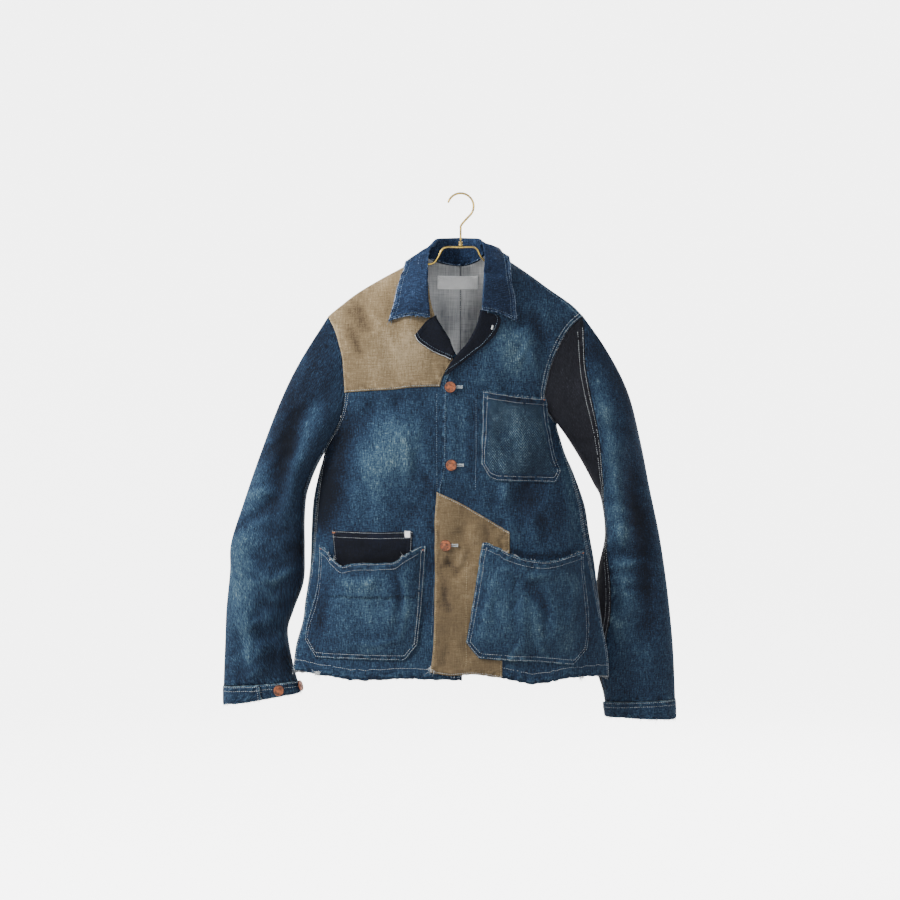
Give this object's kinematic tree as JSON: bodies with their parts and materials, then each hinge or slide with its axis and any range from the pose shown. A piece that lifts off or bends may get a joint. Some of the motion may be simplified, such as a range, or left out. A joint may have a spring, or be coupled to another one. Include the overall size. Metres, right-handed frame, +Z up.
{
  "type": "patched denim work jacket on a wire hanger",
  "caption": "Worn patched denim work jacket with turned-down collar, folded lapels, patch pockets and lapped cuffs, hanging open at neck and hem on a plain wire hanger.",
  "frame": {"origin": "inside of the top of the hanger's hook, where a rail or peg carries it", "axes": "+Z up, -Y towards the jacket's front, +X towards the wearer's left, millimetres in the source and metres in the row"},
  "size_m": [0.7337, 0.149, 0.8472],
  "materials": {
    "denim": "faded indigo twill, matt",
    "denim_reverse": "grey reverse of the twill, matt",
    "denim_collar": "brighter indigo twill, frayed edge",
    "denim_facing": "unfaded near-black indigo, matt",
    "denim_charcoal": "charcoal twill, matt",
    "canvas_tan": "coarse tan plain weave, matt",
    "tape_white": "smooth woven tape",
    "thread": "pale cotton thread",
    "copper": "tarnished copper-coloured tack button",
    "brass": "lightly worn bare wire"
  },
  "bodies": {
    "root": {"front_right": "denim", "front_left": "denim", "back_right": "denim", "back_left": "denim", "label_neck": "tape_white", "patch_shoulder": "canvas_tan", "patch_front_edge": "canvas_tan", "lapel_right": "denim_facing", "lapel_left": "denim_facing", "pocket_chest": "denim", "pocket_lower_right": "denim", "pocket_lower_left": "denim", "pocket_tool": "denim_facing", "tag_selvedge": "tape_white", "sleeve_upper_right": "denim", "sleeve_under_right": "denim", "cuff_right": "denim", "button_cuff_right_1": "copper", "button_cuff_right_2": "copper", "sleeve_upper_left": "denim", "sleeve_under_left": "denim_charcoal", "cuff_left": "denim", "button_cuff_left_1": "copper", "button_cuff_left_2": "copper", "button_front_1": "copper", "button_front_2": "copper", "button_front_3": "copper", "collar": "denim_collar", "hanger_hook": "brass", "hanger_ferrule": "brass", "hanger_arms": "brass"}
  },
  "joints": []
}
